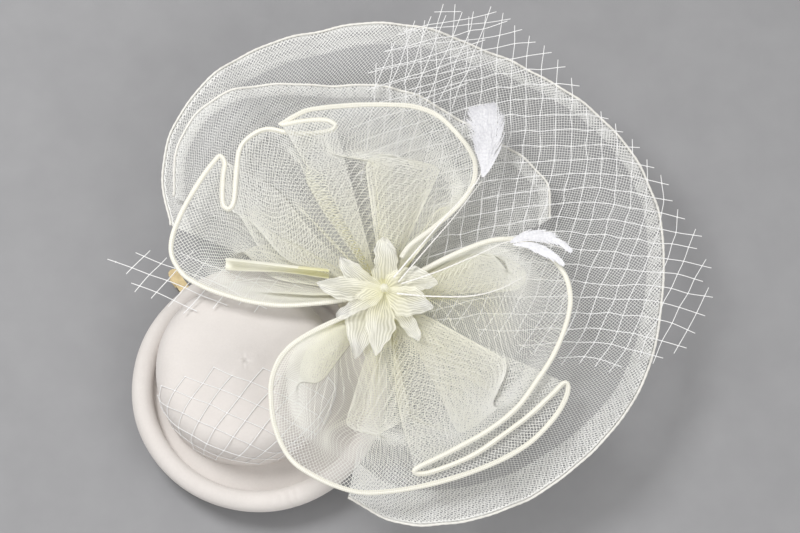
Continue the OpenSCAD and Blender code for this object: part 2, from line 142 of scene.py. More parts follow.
# the loops' pleats: place along the cord, width, strength and reach
up_pleats = ((0.07, 0.012, 2.0, 0.7), (0.12, 0.02, 2.2, 0.8), (0.235, 0.05, 2.3, 0.68),
             (0.33, 0.012, 1.8, 0.9), (0.37, 0.01, 2.0, 1.0), (0.49, 0.012, 2.4, 1.0),
             (0.53, 0.014, 1.8, 0.7), (0.61, 0.03, 2.2, 0.95), (0.70, 0.015, 2.0, 0.6),
             (0.77, 0.03, 2.2, 0.7), (0.86, 0.02, 2.0, 0.8), (0.92, 0.014, 1.8, 0.7))
low_pleats = ((0.05, 0.012, 1.8, 0.7), (0.12, 0.03, 2.2, 0.8), (0.19, 0.012, 1.8, 0.9),
              (0.25, 0.04, 2.2, 0.72), (0.33, 0.012, 2.0, 0.9), (0.40, 0.012, 1.8, 0.9),
              (0.60, 0.012, 2.0, 0.9), (0.70, 0.04, 2.2, 0.95), (0.79, 0.012, 1.8, 0.8),
              (0.86, 0.04, 2.2, 0.72), (0.94, 0.015, 2.0, 0.8))

# feathers: quills as x, y and depth under the vanes, vanes by their middle line
vane_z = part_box("upper_feather_vane")[0].z
quill_1 = ((92, 53, 3.7), (108, 73, 3.5), (128, 97, 2.5), (148, 121, 0.8), (150, 140, 0.8), (151, 166, 0.8))
quill_2 = ((95, 50, 3.7), (112, 71, 3.4), (132, 95, 2.4), (150, 119, 0.8))
quill_3 = ((94, 42, 2.4), (116, 40, 2.2), (142, 40, 1.6), (162, 45, 0.8), (180, 55, 0.8))
quill_4 = ((97, 49, 3.7), (120, 57, 3.4), (144, 67, 2), (167, 77, 0.8), (186, 77, 0.8), (203, 72, 0.8))

# the pad under the gathers: how far it reaches in over the brim, half its width, and its round end
pad_inset = 6 * MM
pad_half = 20 * MM
pad_disc = 24 * MM

# petals: directions, sizes and heights, the lowest first
petal_turn = (78, 305, 236, 20, 251, 150, 335, 182, 222)
petal_size = (0.8, 0.9, 1.1, 0.75, 1, 0.8, 0.75, 1, 0.8)
petal_low = (58.6, 58.6, 58.6, 62.2, 62.2, 62.2, 65.6, 65.6, 65.6)
petal_len = 38 * MM
petal_w = 12 * MM

# the rolled ribbon: its two ends, its radius and the width it was cut to
roll_a = np.array([50, 58, 61.5]) * MM
roll_b = np.array([-18, 61, 63.5]) * MM
roll_r = 4.6 * MM
roll_l = np.linalg.norm(roll_b - roll_a)
roll_w = 34 * MM

# the netting tab past the hat: its outline, in millimetres
side_edge = ((-60, 80), (-93, 80), (-93, 72), (-87, 62), (-84, 50), (-80, 34))


# ---------------------------------------------------------------- mesh helpers
def smooth(x):
    """0 below 0, 1 above 1, and a smooth step between."""
    x = np.clip(x, 0, 1)
    return x * x * (3 - 2 * x)


def at_even(values, f):
    """The value at fraction f of an evenly spaced list."""
    return np.interp(f, np.linspace(0, 1, len(values)), values)


def rounded(values, count):
    """An evenly spaced list spread over count places, with its corners rounded."""
    wide = count // len(values) | 1
    window = np.hanning(wide + 2)[1:-1]
    line = np.pad(at_even(values, np.linspace(0, 1, count)), wide // 2, mode="edge")
    return np.convolve(line, window / window.sum(), mode="valid")


def curve(points, steps):
    """A smooth line through the points, with that many steps between two of them."""
    p = np.asarray(points, float)
    q = np.vstack([p[:1], p, p[-1:]])
    s = np.linspace(0, 1, steps, endpoint=False)[:, None]
    parts = []
    for i in range(len(p) - 1):
        a, b, c, d = q[i:i + 4]
        parts.append(0.5 * (2 * b + (c - a) * s + (2 * a - 5 * b + 4 * c - d) * s ** 2
                            + (3 * b - a - 3 * c + d) * s ** 3))
    return np.vstack(parts + [p[-1:]])


def lengths(points):
    """How far along the line each point is."""
    return np.concatenate([[0], np.cumsum(np.linalg.norm(np.diff(points, axis=0), axis=1))])


def even(points, step):
    """The same line with points an even step apart."""
    s = lengths(points)
    n = max(2, int(round(s[-1] / step)) + 1)
    t = np.linspace(0, s[-1], n)
    return np.stack([np.interp(t, s, points[:, k]) for k in range(points.shape[1])], 1)


def finish_mesh(name, points, faces, material, replaced=(), uv=None, values=None):
    """Makes the object, gives it its material and slot, and lets it ride on the headpiece."""
    mesh = bpy.data.meshes.new(name)
    mesh.from_pydata(points.tolist(), [], faces)
    mesh.validate()
    mesh.polygons.foreach_set("use_smooth", [True] * len(mesh.polygons))
    corners = np.zeros(len(mesh.loops), int)
    mesh.loops.foreach_get("vertex_index", corners)
    if uv is not None:
        layer = mesh.uv_layers.new(name="weave")
        layer.data.foreach_set("uv", uv[corners].astype(np.float32).ravel())
    for key, column in (values or {}).items():
        attribute = mesh.attributes.new(key, "FLOAT", "POINT")
        attribute.data.foreach_set("value", column.astype(np.float32))
    mesh.materials.append(material)
    piece = bpy.data.objects.new(name, mesh)
    bpy.context.scene.collection.objects.link(piece)
    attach(piece, BODY)
    if replaced:
        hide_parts(*replaced)
    return piece


def grid_faces(rows, columns, closed=False, start=0):
    """Quads over a grid of points, closed round its columns if asked."""
    wide = columns if closed else columns - 1
    return [(start + i * columns + j, start + i * columns + (j + 1) % columns,
             start + (i + 1) * columns + (j + 1) % columns, start + (i + 1) * columns + j)
            for i in range(rows - 1) for j in range(wide)]


def grid(name, P, material, replaced=(), uv=None, values=None, closed=False):
    """A sheet through the grid P of points."""
    rows, columns = P.shape[:2]
    flat_uv = None if uv is None else uv.reshape(-1, 2)
    flat_values = {key: value.reshape(-1) for key, value in (values or {}).items()}
    return finish_mesh(name, P.reshape(-1, 3), grid_faces(rows, columns, closed), material,
                       replaced, flat_uv, flat_values)


def rings(path, radius, sides):
    """Rings of points round a path; radius is one number, one for each ring, or a whole grid."""
    tangent = np.gradient(path, axis=0)
    tangent /= np.linalg.norm(tangent, axis=1)[:, None] + 1e-12
    side = np.cross(tangent[0], np.cross([0.1, 0.2, 1.0], tangent[0]))
    out = []
    radius = np.broadcast_to(np.reshape(radius, (-1, 1)) if np.ndim(radius) < 2 else radius,
                             (len(path), sides))
    turn = np.arange(sides) * 2 * math.pi / sides
    for i, t in enumerate(tangent):
        side = side - side.dot(t) * t
        side /= np.linalg.norm(side) + 1e-12
        other = np.cross(t, side)
        out.append(path[i] + radius[i][:, None] * (np.cos(turn)[:, None] * side
                                                   + np.sin(turn)[:, None] * other))
    return np.array(out)


def tubes(name, paths, radii, sides, material, replaced=()):
    """Closed tubes along several paths, joined in one piece."""
    points, faces, uvs, start = [], [], [], 0
    for path, radius in zip(paths, radii):
        R = rings(path, radius, sides)
        n = len(path)
        points.append(R.reshape(-1, 3))
        faces += grid_faces(n, sides, True, start)
        faces.append(tuple(start + j for j in reversed(range(sides))))
        faces.append(tuple(start + (n - 1) * sides + j for j in range(sides)))
        along = np.repeat(lengths(path), sides)
        round_it = np.tile(np.arange(sides) / sides, n)
        uvs.append(np.stack([along, round_it], 1))
        start += n * sides
    return finish_mesh(name, np.vstack(points), faces, material, replaced, np.vstack(uvs))


def weave_share(P, uv, thread, pitch):
    """How much of its spacing a thread fills, for both thread directions of a mesh woven on the bias."""
    Pi = np.gradient(P, axis=0)
    Pj = np.gradient(P, axis=1)
    E = (Pi ** 2).sum(2)
    F = (Pi * Pj).sum(2)
    G = (Pj ** 2).sum(2)
    det = np.maximum(E * G - F ** 2, 1e-18)
    shares = []
    for sign in (1, -1):
        a = uv[..., 0] + sign * uv[..., 1]
        ai = np.gradient(a, axis=0)
        aj = np.gradient(a, axis=1)
        slope = np.sqrt(np.maximum((G * ai ** 2 - 2 * F * ai * aj + E * aj ** 2) / det, 0))
        shares.append(np.clip(thread * slope / pitch, 0.02, 1.2))
    return shares


# ---------------------------------------------------------------- material helpers
def node(tree, kind, inputs=None, **settings):
    """A new node with its settings, and its inputs linked or set."""
    made = tree.nodes.new(kind)
    for key, value in settings.items():
        setattr(made, key, value)
    for key, value in (inputs or {}).items():
        if isinstance(value, bpy.types.NodeSocket):
            tree.links.new(value, made.inputs[key])
        else:
            made.inputs[key].default_value = value
    return made


def calc(tree, operation, a, b=0.0):
    """The result of one sum on two values or sockets."""
    return node(tree, "ShaderNodeMath", {0: a, 1: b}, operation=operation).outputs[0]


def place(tree, kind="Object"):
    """Where a point is: on the object, in metres, or on its weave."""
    return node(tree, "ShaderNodeTexCoord").outputs[kind]


def stored(tree, name):
    """A value kept on the mesh's points."""
    return node(tree, "ShaderNodeAttribute", attribute_name=name).outputs["Fac"]


def noise(tree, scale, detail=3.0, kind="Object"):
    """Soft noise from 0 to 1."""
    return node(tree, "ShaderNodeTexNoise", {"Vector": place(tree, kind), "Scale": scale,
                                             "Detail": detail}).outputs["Fac"]


def clouded(tree, value, scale, amount):
    """The value, raised and lowered by soft noise."""
    swing = calc(tree, "MULTIPLY", calc(tree, "SUBTRACT", noise(tree, scale), 0.5), amount)
    return calc(tree, "ADD", value, swing)


def ramp(tree, factor, *stops):
    """A colour that changes with the factor; each stop is a place and a colour."""
    made = node(tree, "ShaderNodeValToRGB", {0: factor})
    while len(made.color_ramp.elements) < len(stops):
        made.color_ramp.elements.new(0.5)
    for element, (position, colour) in zip(made.color_ramp.elements, stops):
        element.position = position
        element.color = (*colour, 1)
    return made.outputs[0]


def spread(tree, factor, low, high):
    """The factor's 0 to 1 stretched from low to high."""
    return node(tree, "ShaderNodeMapRange", {0: factor, 3: low, 4: high}).outputs[0]


def start_material(name, **constants):
    """A new material, its tree and its shader with constants set on it."""
    material = bpy.data.materials.new(name)
    material.use_nodes = True
    tree = material.node_tree
    shader = tree.nodes["Principled BSDF"]
    for key, value in constants.items():
        shader.inputs[key.replace("_", " ")].default_value = value
    return material, tree, shader


def connect(tree, shader, **sockets):
    """Links sockets to the shader's inputs of those names."""
    for key, socket in sockets.items():
        tree.links.new(socket, shader.inputs[key.replace("_", " ")])


def add_bump(tree, shader, height, distance, strength=1.0):
    """Bumps from a height of 0 to 1, that deep in metres."""
    made = node(tree, "ShaderNodeBump", {"Height": height, "Distance": distance, "Strength": strength})
    tree.links.new(made.outputs[0], shader.inputs["Normal"])


# ---------------------------------------------------------------- materials
fan_thread = 0.29 * MM
fan_pitch = 2.5 * MM
bow_thread = 0.33 * MM
bow_pitch = 2.9 * MM
rib_solid = 0.75
white = (0.88, 0.88, 0.86)
ivory = (0.90, 0.88, 0.70)
# olive_shade is painted shade: the colour the crin turns to where its layers crowd deep in the gathers
olive_shade = (0.74, 0.70, 0.36)


def crin(name, near, far, pitch):
    """Stiff open mesh: two sets of threads on the bias, closing up where the mesh is gathered; its colour
    goes to a painted olive shade where layers crowd.
    """
    material, tree, shader = start_material(name, Specular_IOR_Level=0.35)
    uv = node(tree, "ShaderNodeSeparateXYZ", {0: place(tree, "UV")})
    wander = calc(tree, "MULTIPLY", calc(tree, "SUBTRACT", noise(tree, 260, 2.0), 0.5), 0.5)
    masks, heights = [], []
    for operation, share_name in (("ADD", "share_a"), ("SUBTRACT", "share_b")):
        line = calc(tree, "DIVIDE", calc(tree, operation, uv.outputs[0], uv.outputs[1]), pitch)
        cell = calc(tree, "FRACT", calc(tree, "ADD", line, wander))
        off = calc(tree, "ABSOLUTE", calc(tree, "SUBTRACT", cell, 0.5))
        half = calc(tree, "MULTIPLY", stored(tree, share_name), 0.5)
        masks.append(calc(tree, "LESS_THAN", off, half))
        heights.append(calc(tree, "SUBTRACT", 1.0, calc(tree, "DIVIDE", off, half)))
    threads = calc(tree, "MAXIMUM", masks[0], masks[1])
    height = calc(tree, "MAXIMUM", heights[0], heights[1])
    # Painted shade: crowd_shade, high at the gathers, in pleat folds and deep between layers, moves the
    # colour from far and near through ivory to the olive shade.
    shade_tone = clouded(tree, stored(tree, "crowd_shade"), 45, 0.35)
    colour = ramp(tree, shade_tone, (0.0, far), (0.4, near), (0.75, ivory), (1.0, olive_shade))
    rough = spread(tree, noise(tree, 900, 1.0), 0.38, 0.6)
    connect(tree, shader, Base_Color=colour, Alpha=threads, Roughness=rough)
    add_bump(tree, shader, height, 0.2 * MM, 0.6)
    return material


def strand(name, colour, dark, scale):
    """Smooth nylon or thread with fine twist."""
    material, tree, shader = start_material(name, Specular_IOR_Level=0.4)
    twist = node(tree, "ShaderNodeTexWave", {"Vector": place(tree, "UV"), "Scale": scale, "Distortion": 1.0})
    base = ramp(tree, calc(tree, "ADD", calc(tree, "MULTIPLY", twist.outputs["Fac"], 0.5),
                           calc(tree, "MULTIPLY", noise(tree, 300), 0.5)), (0.2, dark), (0.7, colour))
    connect(tree, shader, Base_Color=base, Roughness=spread(tree, noise(tree, 1200), 0.35, 0.6))
    add_bump(tree, shader, twist.outputs["Fac"], 0.1 * MM, 0.5)
    return material


def cord_cover(name):
    """Thick cord under a fine speckled braid: crossing stripes round and along it."""
    material, tree, shader = start_material(name, Specular_IOR_Level=0.25, Sheen_Weight=0.2)
    uv = node(tree, "ShaderNodeSeparateXYZ", {0: place(tree, "UV")})
    along = calc(tree, "MULTIPLY", uv.outputs[0], 1 / (2.4 * MM))
    around = calc(tree, "MULTIPLY", uv.outputs[1], 5.0)
    waves = []
    for operation in ("ADD", "SUBTRACT"):
        turn = calc(tree, "MULTIPLY", calc(tree, operation, around, along), 2 * math.pi)
        waves.append(calc(tree, "SINE", turn))
    braid = calc(tree, "ADD", calc(tree, "MULTIPLY", calc(tree, "MULTIPLY", waves[0], waves[1]), 0.5), 0.5)
    speckle = noise(tree, 1500, 2.0)
    mixed = calc(tree, "ADD", calc(tree, "MULTIPLY", braid, 0.55), calc(tree, "MULTIPLY", speckle, 0.6))
    colour = ramp(tree, mixed, (0.15, (0.72, 0.68, 0.52)), (0.45, (0.89, 0.87, 0.76)),
                  (0.8, (0.95, 0.94, 0.88)))
    connect(tree, shader, Base_Color=colour, Roughness=spread(tree, speckle, 0.55, 0.85))
    add_bump(tree, shader, braid, 0.25 * MM, 0.8)
    return material


def cloth(name, colour, dark, pitch, depth, sheen=0.2):
    """Closely woven covering cloth: fine threads both ways over a soft, slightly uneven colour."""
    material, tree, shader = start_material(name, Specular_IOR_Level=0.2, Sheen_Weight=sheen)
    uv = node(tree, "ShaderNodeSeparateXYZ", {0: place(tree, "UV")})
    waves = []
    for axis in (0, 1):
        turn = calc(tree, "MULTIPLY", uv.outputs[axis], 2 * math.pi / pitch)
        waves.append(calc(tree, "SINE", turn))
    weave = calc(tree, "ADD", calc(tree, "MULTIPLY", calc(tree, "MULTIPLY", waves[0], waves[1]), 0.5), 0.5)
    patch = noise(tree, 38, 4.0)
    fine = noise(tree, 700, 2.0)
    tone = calc(tree, "ADD", calc(tree, "MULTIPLY", patch, 0.6),
                calc(tree, "ADD", calc(tree, "MULTIPLY", weave, 0.15), calc(tree, "MULTIPLY", fine, 0.25)))
    base = ramp(tree, tone, (0.25, dark), (0.7, colour))
    height = calc(tree, "ADD", weave, calc(tree, "MULTIPLY", patch, 1.5))
    connect(tree, shader, Base_Color=base, Roughness=spread(tree, fine, 0.6, 0.85))
    add_bump(tree, shader, height, depth, 0.6)
    return material


def felt(name, colour, dark):
    """Pressed felt: cloudy colour and short fibres."""
    material, tree, shader = start_material(name, Specular_IOR_Level=0.15, Sheen_Weight=0.3)
    fibre = noise(tree, 1400, 4.0)
    cloud = noise(tree, 60, 3.0)
    tone = calc(tree, "ADD", calc(tree, "MULTIPLY", fibre, 0.5), calc(tree, "MULTIPLY", cloud, 0.5))
    connect(tree, shader, Base_Color=ramp(tree, tone, (0.3, dark), (0.65, colour)),
            Roughness=spread(tree, fibre, 0.8, 0.98))
    add_bump(tree, shader, fibre, 0.4 * MM, 0.7)
    return material


def organza(name, colour, shade, between):
    """Sheer ribbed fabric; between says how solid it is between its lengthwise ribs, and shade is the painted
    shade it turns to where layers crowd.
    """
    material, tree, shader = start_material(name, Specular_IOR_Level=0.4, Sheen_Weight=0.3)
    uv = node(tree, "ShaderNodeSeparateXYZ", {0: place(tree, "UV")})
    rib = calc(tree, "SINE", calc(tree, "MULTIPLY", uv.outputs[1], 2 * math.pi / (1.1 * MM)))
    cross = calc(tree, "SINE", calc(tree, "MULTIPLY", uv.outputs[0], 2 * math.pi / (0.6 * MM)))
    fine = calc(tree, "ADD", calc(tree, "MULTIPLY", cross, 0.1), 0.5)
    ribs = calc(tree, "ADD", calc(tree, "MULTIPLY", rib, 0.35), fine)
    # Painted shade: crowd_shade moves the colour from its own through ivory to the shade colour, deep in the
    # gathers, the flower and the roll.
    depth = clouded(tree, stored(tree, "crowd_shade"), 90, 0.5)
    connect(tree, shader, Base_Color=ramp(tree, depth, (0.0, colour), (0.6, ivory), (1.0, shade)),
            Alpha=spread(tree, ribs, between, rib_solid), Roughness=spread(tree, ribs, 0.4, 0.6))
    add_bump(tree, shader, ribs, 0.08 * MM, 0.4)
    return material


def barbs(name):
    """Silky feather barbs: cool white with a soft sheen and fine lines along them."""
    material, tree, shader = start_material(name, Specular_IOR_Level=0.5, Sheen_Weight=0.4)
    streak = noise(tree, 700, 3.0)
    connect(tree, shader, Base_Color=ramp(tree, streak, (0.3, (0.78, 0.78, 0.82)), (0.7, (0.94, 0.94, 0.96))),
            Roughness=spread(tree, streak, 0.3, 0.5))
    add_bump(tree, shader, streak, 0.1 * MM, 0.4)
    return material


def metal(name, colour, dark, rough):
    """Bright metal with faint drawing marks and duller patches."""
    material, tree, shader = start_material(name, Metallic=1.0)
    marks = noise(tree, 1800, 2.0)
    patch = noise(tree, 160, 3.0)
    connect(tree, shader, Base_Color=ramp(tree, patch, (0.35, dark), (0.65, colour)),
            Roughness=spread(tree, patch, rough, rough + 0.2))
    add_bump(tree, shader, marks, 0.03 * MM, 0.4)
    return material


def grosgrain(name, colour, dark):
    """Ribbed ribbon: ribs that stand upright round the band."""
    material, tree, shader = start_material(name, Specular_IOR_Level=0.3, Sheen_Weight=0.2)
    where = node(tree, "ShaderNodeSeparateXYZ", {0: place(tree)})
    angle = calc(tree, "ARCTAN2", where.outputs[1], where.outputs[0])
    rib = calc(tree, "SINE", calc(tree, "MULTIPLY", angle, 360.0))
    tone = calc(tree, "ADD", calc(tree, "MULTIPLY", rib, 0.25), noise(tree, 120))
    connect(tree, shader, Base_Color=ramp(tree, tone, (0.3, dark), (0.7, colour)),
            Roughness=spread(tree, noise(tree, 500), 0.5, 0.75))
    add_bump(tree, shader, rib, 0.2 * MM, 0.6)
    return material


fan_crin = crin("fan_crin", (0.88, 0.88, 0.82), white, fan_pitch)
bow_crin = crin("bow_crin", (0.92, 0.91, 0.79), (0.92, 0.92, 0.89), bow_pitch)
net_nylon = strand("net_nylon", (0.96, 0.96, 0.96), (0.88, 0.88, 0.88), 300)
edge_braid = strand("edge_braid", (0.92, 0.91, 0.87), (0.80, 0.78, 0.72), 900)
cord_braid = cord_cover("cord_braid")
hat_cloth = cloth("hat_cloth", (0.79, 0.75, 0.72), (0.70, 0.66, 0.63), 0.9 * MM, 0.25 * MM)
pad_felt = felt("pad_felt", (0.80, 0.76, 0.66), (0.66, 0.62, 0.52))
clip_pad_felt = felt("clip_pad_felt", (0.80, 0.75, 0.70), (0.68, 0.63, 0.58))
# The last colour of each organza is its painted shade.
petal_organza = organza("petal_organza", (0.94, 0.94, 0.92), (0.84, 0.82, 0.56), 0.36)
roll_organza = organza("roll_organza", (0.93, 0.92, 0.82), (0.80, 0.77, 0.42), 0.8)
feather_barbs = barbs("feather_barbs")
quill_horn = strand("quill_horn", (0.96, 0.95, 0.92), (0.88, 0.86, 0.82), 120)
wound_thread = strand("wound_thread", (0.82, 0.80, 0.68), (0.66, 0.63, 0.48), 1500)


# ---------------------------------------------------------------- heights of the gathered layers
def fan_height(r, a):
    """The fluted fan surface at radius r and angle a, in radians."""
    return (fan_z + fan_rise * np.sin(math.pi / 2 * np.minimum(r, fan_crest) / fan_crest)
            + flute_h * (r / flute_r) * np.sin(flutes * a + math.radians(20)))


def bow_height(r):
    """The bow loops' surface at radius r."""
    return bow_z + bow_rise * np.sin(math.pi / 2 * np.minimum(r, bow_crest) / bow_crest)


def drop_in(r, reach):
    """1 at the core and 0 from reach outwards: how far a layer has bent down to its binding."""
    return (1 - smooth((r - core_r) / reach)) ** 1.5


def polar(r, a):
    """The place at radius r and angle a round the gathers."""
    return hub[0] + r * np.cos(a), hub[1] + r * np.sin(a)


def micro_folds(r, a, count, size):
    """Small gathers that fade out away from the core."""
    return size * np.sin(count * a + 3 * np.sin(5 * a)) * np.exp(-r / 0.035) * smooth((r - core_r) / 0.006)


def sheet_weave(P, reference_row, keep):
    """Weave coordinates from lengths measured on the sheet itself.

    keep says how much of the width the mesh gives up towards the binding instead of gathering."""
    rows, columns = P.shape[:2]
    row = P[reference_row]
    scale = lengths(P[-1])[-1] / max(lengths(row)[-1], 1e-9)
    u = lengths(row) * scale
    out = np.minimum(np.linspace(0, 1, rows)[:, None] * rows / reference_row, 1)
    u = (u - u.mean()) * (1 - keep + keep * out)
    steps = np.linalg.norm(np.diff(P, axis=0), axis=2)
    v = np.vstack([np.zeros((1, columns)), np.cumsum(steps, axis=0)])
    return np.stack([u, v], 2)


# ---------------------------------------------------------------- fans
def fan_sheet(name, radii, angles, lift, curl, bind, columns, hems, replaced):
    """A gathered sector of mesh with flutes, a curled rim and a hem folded under it."""
    a = np.radians(np.linspace(angles[0], angles[1], columns))
    R = rounded(np.array(radii) * MM, columns)
    hem = at_even(np.array(hems) * MM, np.linspace(0, 1, columns))
    rows = np.linspace(0, 1, 70) ** 1.15
    f, A = np.meshgrid(rows, a, indexing="ij")
    r = core_r + (R - core_r) * f
    waves = 1.1 * MM * np.sin(23 * A + 1.0) * f ** 2 + 0.7 * MM * np.sin(41 * A) * f ** 3
    z = fan_height(r, A) + lift + curl * f ** 8 + waves + micro_folds(r, A, 90, 1.6 * MM)
    d = drop_in(r, 34 * MM)
    z = z * (1 - d) + bind * d
    x, y = polar(r, A)
    P = np.stack([x, y, z], 2)
    back = np.linspace(0, 1, 9)[1:, None]
    hr = R - hem * back
    hf = (hr - core_r) / (R - core_r)
    hz = np.array([np.interp(hf[:, j], rows, z[:, j]) for j in range(columns)]).T
    hz = hz - 0.7 * MM * (1 - np.exp(-6 * back))
    hx, hy = polar(hr, np.broadcast_to(a, hr.shape))
    P = np.concatenate([P, np.stack([hx, hy, hz], 2)], 0)
    uv = sheet_weave(P, 69, 0.35)
    share_a, share_b = weave_share(P, uv, fan_thread, fan_pitch)
    doubled = 1 + 0.4 * smooth((r - (R - hem)) / (2 * MM))
    for share in (share_a, share_b):
        share[:70] *= doubled
        share[70:] *= 1.4
    # Painted shade: the mesh's colour darkens to olive towards the gathers, where the layers crowd.
    crowd_shade = np.zeros(P.shape[:2])
    crowd_shade[:70] = 0.9 * np.exp(-(r - core_r) / 0.03) + 0.12 * (1 - f)
    values = {"share_a": share_a, "share_b": share_b, "crowd_shade": crowd_shade}
    return grid(name, P, fan_crin, replaced, uv, values)


def rim_line(radii, angles, lift, curl, columns):
    """The path of a fan's bound edge."""
    a = np.radians(np.linspace(angles[0], angles[1], columns))
    R = rounded(np.array(radii) * MM, columns)
    waves = 1.1 * MM * np.sin(23 * a + 1.0) + 0.7 * MM * np.sin(41 * a)
    x, y = polar(R + 0.3 * MM, a)
    return even(np.stack([x, y, fan_height(R, a) + lift + curl + waves], 1), 1.2 * MM)


def rim_edge(name, path, replaced):
    """The bound edge of a fan, wound with fine thread."""
    s = lengths(path)
    radius = rim_r * (1 + 0.12 * np.sin(s / (0.9 * MM)))
    return tubes(name, [path], [radius], 10, edge_braid, replaced)


def make_fans():
    fan_line = rim_line(fan_R, fan_a, 0, fan_curl, 520)
    inner_line = rim_line(inner_R, inner_a, inner_lift, inner_curl, 300)
    fan = fan_sheet("fan", fan_R, fan_a, 0, fan_curl, fan_bind_z, 520, fan_hem, ("fan_mesh",))
    edge = rim_edge("fan_edge", fan_line, ("fan_rim_wire",))
    inner = fan_sheet("inner_fan", inner_R, inner_a, inner_lift, inner_curl, inner_bind_z, 300, inner_hem,
                      ("inner_fan_mesh",))
    inner_rim = rim_edge("inner_fan_binding", inner_line, ("inner_fan_edge",))


# ---------------------------------------------------------------- bow loops
def cord_line(route):
    """A cord's path, its underside just above the loop's surface, with even steps."""
    flat = curve(np.array(route) * MM, 12)
    r = np.hypot(flat[:, 0] - hub[0], flat[:, 1] - hub[1])
    flat[:, 2] += bow_height(r) + mesh_t + cord_r + cord_gap
    return even(flat, 0.8 * MM)


def fold_back(t):
    """How far a pleat carries the mesh back over itself, from -1 to 1."""
    return t * np.exp(0.5 - t * t / 2)


def loop_sheet(name, line, turn, pleats, ridges, order, replaced):
    """A loop's mesh: from the binding out to its cord, lying in layers wherever the cord turns back.

    pleats are places where the mesh doubles back over itself: share of the cord's length,
    width as a share, how strongly it folds, and how far out it runs as a share of the radius.
    ridges are folds that stand up: place, height in millimetres and width.
    order lists how high the layers lie, at even steps along the cord, in millimetres."""
    edge = even(line, 1.2 * MM)
    n = len(edge)
    share = np.linspace(0, 1, n)
    a = np.radians(turn[0] + (turn[1] - turn[0]) * share)
    hx, hy = polar(core_r, a)
    f = (np.linspace(0, 1, 60) ** 1.1)[:, None]
    x = hx + (edge[:, 0] - hx) * f
    y = hy + (edge[:, 1] - hy) * f
    r = np.hypot(x - hub[0], y - hub[1])
    end_lift = edge[:, 2] - bow_height(r[-1])
    z = bow_height(r) + end_lift * f ** 2
    middle = np.sin(math.pi * f) ** 0.8
    z = z + middle * np.interp(share, np.linspace(0, 1, len(order)), order) * MM
    for where, height, width in ridges:
        z = z + height * MM * np.exp(-((share - where) / width) ** 2) * np.sin(math.pi * f ** 0.7) ** 1.5
    z = z + micro_folds(r, a, 40, 1.2 * MM)
    flat = np.stack([x, y, z], 2)
    uv = sheet_weave(flat, 52, 0.6)
    across = np.gradient(flat, axis=1) * n
    # Painted shade: the loop's colour darkens to olive towards the gathers.
    crowd_shade = 0.8 * np.exp(-(r - core_r) / 0.045) + 0.1 * (1 - f)
    for where, width, strength, reach in pleats:
        t = (share - where) / width
        steady = reach * min(0.3 + 11 * width, 0.85) * (1 + 0.12 * np.tanh(t))
        fade = 1 - smooth((f - steady) / (min(reach + 0.07, 1) - steady))
        swing = fold_back(t) * fade
        x = x - strength * width * swing * across[..., 0]
        y = y - strength * width * swing * across[..., 1]
        z = z - 2.2 * MM * swing * smooth(f / 0.2)
        # More painted shade along each pleat's fold.
        crowd_shade = crowd_shade + 0.005 / width * np.exp(-t * t) * fade
    d = drop_in(r, 30 * MM)
    z = z * (1 - d) + bow_bind_z * d
    P = np.stack([x, y, z], 2)
    share_a, share_b = weave_share(P, uv, bow_thread, bow_pitch)
    tightest = 0.4 + 0.9 * np.exp(-(r - core_r) / 0.03)
    values = {"share_a": np.minimum(share_a, tightest), "share_b": np.minimum(share_b, tightest),
              "crowd_shade": crowd_shade}
    return grid(name, P, bow_crin, replaced, uv, values)


def edge_cord(name, line, replaced):
    """The thick cord, with the small lumps of its braided cover."""
    sides = 18
    s = lengths(line)[:, None]
    turn = np.arange(sides)[None, :] * 2 * math.pi / sides
    lumps = np.sin(5 * turn + s / (0.38 * MM)) * np.sin(5 * turn - s / (0.38 * MM))
    swell = 0.03 * np.sin(s / (7 * MM)) + 0.02 * np.sin(s / (2.9 * MM) + 1)
    return tubes(name, [line], [cord_r * (0.97 + 0.045 * lumps + swell)], sides, cord_braid, replaced)


def make_bows():
    up_line = cord_line(up_path)
    low_line = cord_line(low_path)
    upper = loop_sheet("upper_bow", up_line, up_turn,
                       up_pleats, ((0.30, 4, 0.012), (0.60, 5, 0.016), (0.78, 4, 0.02)),
                       (0, 0, 0, 1, 2, 0.5, 0, 1.5, 0, -1.2, 0, 0, 0), ("upper_bow_mesh",))
    lower = loop_sheet("lower_bow", low_line, low_turn_angles,
                       low_pleats, ((0.08, 4, 0.015), (0.3, 4, 0.012), (0.86, 4, 0.014)),
                       (0, 0, 0, 0, 0, 0, 0, 0, 0, 0), ("lower_bow_mesh",))
    up_cord = edge_cord("upper_cord", up_line, ("upper_bow_cord",))
    low_cord = edge_cord("lower_cord", low_line, ("lower_bow_cord",))


# ---------------------------------------------------------------- netting
def strand_chains(inside, origin, ways, pitches, count, seed, wander, sag=0.0, lean=0.0):
    """Lines of a knotted net over the plane: chains of knots for both strand directions.

    inside says whether a point of the plane belongs to the net; ways are the two directions
    in degrees; sag bends the strands down at both ends, lean draws the lower ones to the left."""
    rng = random.Random(seed)
    way_a, way_b = (np.array([math.cos(math.radians(w)), math.sin(math.radians(w))]) for w in ways)
    knots = {}
    for i in range(-count, count + 1):
        for j in range(-count, count + 1):
            u = i * pitches[0] + wander * (math.sin(0.6 * j + 0.31 * i) + rng.uniform(-0.5, 0.5))
            v = j * pitches[1] + wander * (math.sin(0.5 * i - 0.43 * j) + rng.uniform(-0.5, 0.5))
            off = u * way_a + v * way_b
            x = origin[0] + off[0] - lean * min(off[1], 0) ** 2
            y = origin[1] + off[1] - sag * off[0] ** 2
            if inside(x, y):
                knots[i, j] = (x, y)
    chains = []
    for di, dj in ((1, 0), (0, 1)):
        for (i, j) in knots:
            if (i - di, j - dj) in knots:
                continue
            chain = [(i, j)]
            while (chain[-1][0] + di, chain[-1][1] + dj) in knots:
                chain.append((chain[-1][0] + di, chain[-1][1] + dj))
            if len(chain) > 1:
                chains.append([knots[k] for k in chain])
    return list(knots.values()), chains


